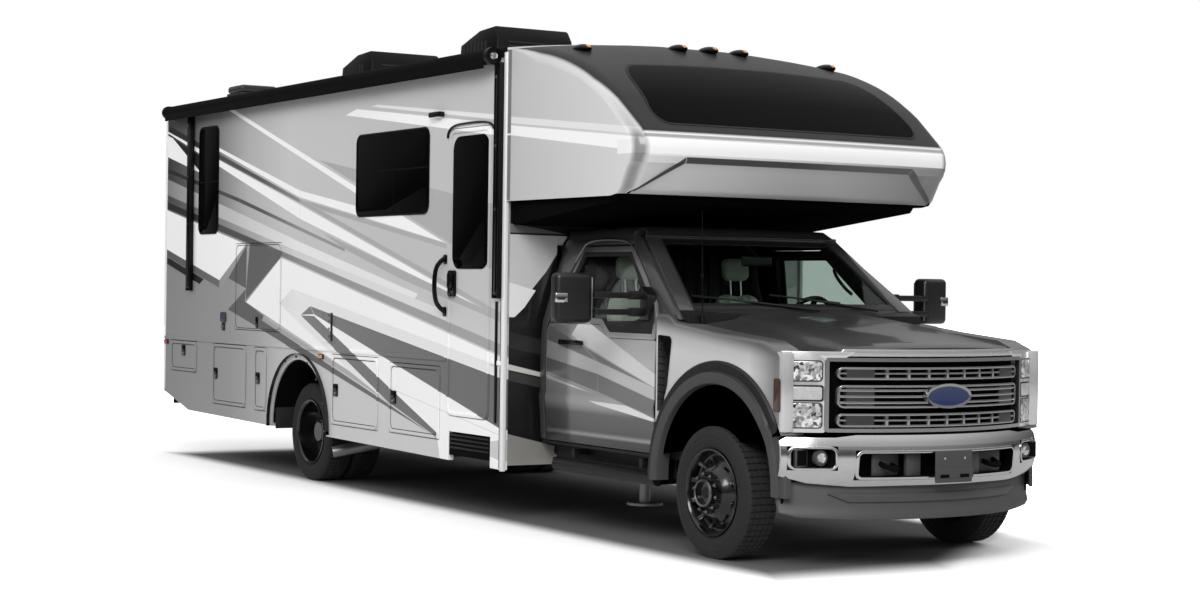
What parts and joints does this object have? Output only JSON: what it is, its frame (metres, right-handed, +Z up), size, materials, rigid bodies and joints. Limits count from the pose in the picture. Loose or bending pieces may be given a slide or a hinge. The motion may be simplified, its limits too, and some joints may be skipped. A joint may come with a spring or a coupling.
{
  "type": "motorhome",
  "caption": "Cab-over-bunk motorhome on a truck chassis, with steered front wheels, twin rear wheels, opening doors, hood, locker doors and a sliding entry step.",
  "frame": {"origin": "on the ground at the middle of the length and width", "axes": "-Y is forwards, +X is the driver's side, +Z is up"},
  "size_m": [3.2516, 9.92, 3.715],
  "materials": {
    "coach_paint": "metallic silver grey with white and grey sweeps",
    "cab_paint": "metallic dark grey",
    "chassis_black": "satin black",
    "casting": "rough",
    "tyre": "matt",
    "rim_black": "gloss black",
    "exhaust_steel": "dull",
    "tank_plastic": "matt",
    "dark_glass": "tinted",
    "clear_glass": "clear",
    "roof_skin": "matt white",
    "black_plastic": "grained",
    "gloss_black": "gloss",
    "lamp_lens": "clear lens",
    "red_lens": "red lens",
    "chrome": "polished",
    "seat_leather": "soft olive tan",
    "awning_black": "rolled cloth and satin arms",
    "floor_board": "board with vinyl",
    "locker_plastic": "moulded"
  },
  "bodies": {
    "coach": {"frame_rails": "chassis_black", "frame_crossmembers": "chassis_black", "hitch_receiver": "chassis_black", "engine_block": "casting", "front_axle": "casting", "rear_axle": "casting", "leaf_springs": "chassis_black", "fuel_tank": "tank_plastic", "exhaust_pipe": "exhaust_steel", "entry_side_wall": "coach_paint", "driver_side_wall": "coach_paint", "coach_windows": "dark_glass", "coach_floor": "floor_board", "rear_wall": "coach_paint", "front_wall": "coach_paint", "coach_roof": "roof_skin", "cabover_cap": "coach_paint", "cab_body": "cab_paint", "windshield": "clear_glass", "front_fenders": "cab_paint", "front_bumper": "chrome", "front_valance": "black_plastic", "headlights": "lamp_lens", "grille": "gloss_black", "running_boards": "black_plastic", "levelling_jacks": "exhaust_steel", "cab_seats": "seat_leather", "dashboard": "black_plastic", "air_conditioners": "black_plastic", "roof_vent": "black_plastic", "awning": "awning_black", "rear_bumper": "chassis_black", "tail_lamps": "red_lens", "storage_bays": "locker_plastic"},
    "knuckle_right": {"steering_knuckle_right": "casting"},
    "front_wheel_right": {"front_tyre_right": "tyre", "front_rim_right": "rim_black"},
    "rear_wheels_right": {"rear_tyres_right": "tyre", "rear_rims_right": "rim_black"},
    "cab_door_right_body": {"cab_door_right": "cab_paint", "mirror_right": "black_plastic"},
    "knuckle_left": {"steering_knuckle_left": "casting"},
    "front_wheel_left": {"front_tyre_left": "tyre", "front_rim_left": "rim_black"},
    "rear_wheels_left": {"rear_tyres_left": "tyre", "rear_rims_left": "rim_black"},
    "cab_door_left_body": {"cab_door_left": "cab_paint", "mirror_left": "black_plastic"},
    "steering_wheel_body": {"steering_wheel": "black_plastic"},
    "hood_body": {"hood": "cab_paint"},
    "entry_door_body": {"entry_door": "coach_paint"},
    "front_compartment_door_body": {"front_compartment_door": "coach_paint"},
    "middle_compartment_door_body": {"middle_compartment_door": "coach_paint"},
    "narrow_compartment_door_body": {"narrow_compartment_door": "coach_paint"},
    "rear_compartment_door_body": {"rear_compartment_door": "coach_paint"},
    "cord_hatch_body": {"cord_hatch": "coach_paint"},
    "upper_utility_door_body": {"upper_utility_door": "coach_paint"},
    "driver_side_front_door_body": {"driver_side_front_door": "coach_paint"},
    "driver_side_rear_door_body": {"driver_side_rear_door": "coach_paint"},
    "entry_step_body": {"entry_step": "chassis_black"}
  },
  "joints": [
    {"name": "steer_right", "type": "hinge", "parent": "coach", "child": "knuckle_right", "pos_m": [-0.84, -3.94, 0.405], "axis": [0, 0, 1], "range_deg": [-35, 35]},
    {"name": "front_wheel_right_spin", "type": "hinge", "parent": "knuckle_right", "child": "front_wheel_right", "pos_m": [-0.945, -3.94, 0.405], "axis": [1, 0, 0], "continuous": true},
    {"name": "rear_wheels_right_spin", "type": "hinge", "parent": "coach", "child": "rear_wheels_right", "pos_m": [-0.938, 1.75, 0.405], "axis": [1, 0, 0], "continuous": true},
    {"name": "cab_door_right_hinge", "type": "hinge", "parent": "coach", "child": "cab_door_right_body", "pos_m": [-1.01, -3.235, 1], "axis": [0, 0, 1], "range_deg": [0, 65]},
    {"name": "steer_left", "type": "hinge", "parent": "coach", "child": "knuckle_left", "pos_m": [0.84, -3.94, 0.405], "axis": [0, 0, 1], "range_deg": [-35, 35]},
    {"name": "front_wheel_left_spin", "type": "hinge", "parent": "knuckle_left", "child": "front_wheel_left", "pos_m": [0.945, -3.94, 0.405], "axis": [1, 0, 0], "continuous": true},
    {"name": "rear_wheels_left_spin", "type": "hinge", "parent": "coach", "child": "rear_wheels_left", "pos_m": [0.938, 1.75, 0.405], "axis": [1, 0, 0], "continuous": true},
    {"name": "cab_door_left_hinge", "type": "hinge", "parent": "coach", "child": "cab_door_left_body", "pos_m": [1.01, -3.235, 1], "axis": [0, 0, -1], "range_deg": [0, 65]},
    {"name": "steering_wheel_turn", "type": "hinge", "parent": "coach", "child": "steering_wheel_body", "pos_m": [0.45, -2.91, 1.43], "axis": [0, 0.8829, 0.4695], "range_deg": [-560, 560]},
    {"name": "hood_hinge", "type": "hinge", "parent": "coach", "child": "hood_body", "pos_m": [0, -3.53, 1.49], "axis": [-1, 0, 0], "range_deg": [0, 50]},
    {"name": "entry_door_hinge", "type": "hinge", "parent": "coach", "child": "entry_door_body", "pos_m": [-1.285, -1.535, 1.7], "axis": [0, 0, 1], "range_deg": [0, 95]},
    {"name": "front_compartment_door_hinge", "type": "hinge", "parent": "coach", "child": "front_compartment_door_body", "pos_m": [-1.285, -0.79, 0.785], "axis": [0, 0, 1], "range_deg": [0, 100]},
    {"name": "middle_compartment_door_hinge", "type": "hinge", "parent": "coach", "child": "middle_compartment_door_body", "pos_m": [-1.285, 0.24, 0.795], "axis": [0, 0, 1], "range_deg": [0, 100]},
    {"name": "narrow_compartment_door_hinge", "type": "hinge", "parent": "coach", "child": "narrow_compartment_door_body", "pos_m": [-1.285, 2.44, 0.81], "axis": [0, 0, 1], "range_deg": [0, 100]},
    {"name": "rear_compartment_door_hinge", "type": "hinge", "parent": "coach", "child": "rear_compartment_door_body", "pos_m": [-1.285, 2.895, 0.815], "axis": [0, 0, 1], "range_deg": [0, 100]},
    {"name": "cord_hatch_hinge", "type": "hinge", "parent": "coach", "child": "cord_hatch_body", "pos_m": [-1.285, 4.4175, 0.805], "axis": [0, -1, 0], "range_deg": [0, 100]},
    {"name": "upper_utility_door_hinge", "type": "hinge", "parent": "coach", "child": "upper_utility_door_body", "pos_m": [-1.285, 2.6575, 1.985], "axis": [0, 1, 0], "range_deg": [0, 95]},
    {"name": "driver_side_front_door_hinge", "type": "hinge", "parent": "coach", "child": "driver_side_front_door_body", "pos_m": [1.285, -0.79, 0.785], "axis": [0, 0, -1], "range_deg": [0, 100]},
    {"name": "driver_side_rear_door_hinge", "type": "hinge", "parent": "coach", "child": "driver_side_rear_door_body", "pos_m": [1.285, 2.895, 0.815], "axis": [0, 0, -1], "range_deg": [0, 100]},
    {"name": "entry_step_slide", "type": "slide", "parent": "coach", "child": "entry_step_body", "axis": [-1, 0, 0], "range_m": [0, 0.25]}
  ],
  "couplings": [
    {"joint": "steer_left", "follows": "steer_right", "ratio": 1},
    {"joint": "steering_wheel_turn", "follows": "steer_right", "ratio": 16}
  ]
}
